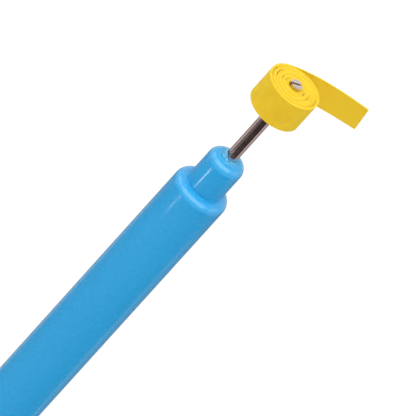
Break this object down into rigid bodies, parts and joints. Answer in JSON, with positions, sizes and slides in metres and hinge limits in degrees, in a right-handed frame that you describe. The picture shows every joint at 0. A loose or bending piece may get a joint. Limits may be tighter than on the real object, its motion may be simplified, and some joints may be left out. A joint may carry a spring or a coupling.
{
  "type": "quilling tool",
  "caption": "Slotted paper-quilling tool: round pen-like plastic handle with a stepped nose, a slotted steel pin, and a paper strip wound on its tip.",
  "frame": {"origin": "centre of the flat tail face", "axes": "+Z along the tool's axis from the tail to the slotted tip, +X to the right as seen from -Y, which is the side that faces the camera in the picture"},
  "size_m": [0.0146, 0.0128, 0.1055],
  "materials": {
    "handle_plastic": "glossy moulded mid-blue plastic",
    "pin_steel": "bright nickel-plated steel",
    "strip_paper": "matte yellow paper, lighter at its cut edges"
  },
  "bodies": {
    "tool": {"barrel": "handle_plastic", "nose": "handle_plastic", "tail_plug": "handle_plastic", "slotted_pin": "pin_steel"},
    "strip": {"paper_strip": "strip_paper"}
  },
  "joints": [
    {"name": "strip_slide", "type": "slide", "parent": "tool", "child": "strip", "axis": [0, 0, 1], "range_m": [0, 0.0065]}
  ]
}
